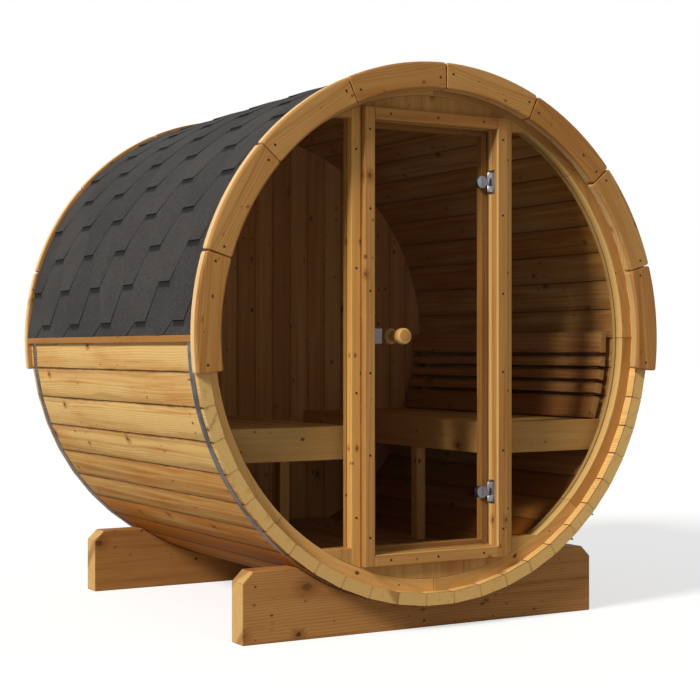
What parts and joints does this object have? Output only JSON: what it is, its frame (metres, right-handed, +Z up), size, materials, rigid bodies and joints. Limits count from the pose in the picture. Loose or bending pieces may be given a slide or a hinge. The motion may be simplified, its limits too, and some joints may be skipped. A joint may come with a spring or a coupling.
{
  "type": "barrel sauna",
  "caption": "Small round garden sauna: a lying barrel of wooden staves on cradles, with a shingle roof, a glazed front with a hinged glass door, and slatted benches inside.",
  "frame": {"origin": "on the ground under the middle of the barrel", "axes": "+Z up, +Y to the back wall along the barrel, +X to the right seen from the front"},
  "size_m": [1.9712, 1.748, 2.0425],
  "materials": {
    "stave_wood": "oiled honey-coloured spruce",
    "frame_wood": "oiled honey-coloured spruce",
    "cabin_wood": "planed bare wood",
    "knob_wood": "turned and oiled",
    "shingle": "bitumen felt with grey mineral granules",
    "steel": "satin",
    "glass": "bronze-tinted safety glass"
  },
  "bodies": {
    "cabin": {"staves_floor": "stave_wood", "staves_lower_left": "stave_wood", "staves_lower_right": "stave_wood", "staves_upper_left": "stave_wood", "staves_upper_right": "stave_wood", "staves_ridge": "stave_wood", "cradle_front": "frame_wood", "cradle_rear": "frame_wood", "front_arch_boards": "frame_wood", "rear_arch_boards": "frame_wood", "front_ring_left": "frame_wood", "front_ring_right": "frame_wood", "front_post_left": "frame_wood", "front_post_right": "frame_wood", "front_top_board": "frame_wood", "front_bottom_board": "frame_wood", "front_corner_boards": "frame_wood", "door_jamb_left": "frame_wood", "door_jamb_right": "frame_wood", "door_head": "frame_wood", "door_sill": "frame_wood", "eave_battens": "frame_wood", "rear_wall_boards": "frame_wood", "bench_left_seat": "cabin_wood", "bench_right_seat": "cabin_wood", "bench_left_apron": "cabin_wood", "bench_right_apron": "cabin_wood", "bench_left_bearers": "cabin_wood", "bench_right_bearers": "cabin_wood", "bench_legs": "cabin_wood", "backrest_left": "cabin_wood", "backrest_right": "cabin_wood", "backrest_brackets": "cabin_wood", "floor_boards": "cabin_wood", "floor_joists": "cabin_wood", "shingles_left": "shingle", "shingles_right": "shingle", "ridge_cap": "shingle", "hoop_bands": "steel", "hinge_leaves": "steel", "front_pane_left": "glass", "front_pane_right": "glass"},
    "door": {"door_glass": "glass", "door_knob": "knob_wood", "hinge_clamps": "steel", "latch_plate": "steel"}
  },
  "joints": [
    {"name": "door_swing", "type": "hinge", "parent": "cabin", "child": "door", "pos_m": [0.256, -0.765, 1.061], "axis": [0, 0, 1], "range_deg": [0, 90]}
  ]
}
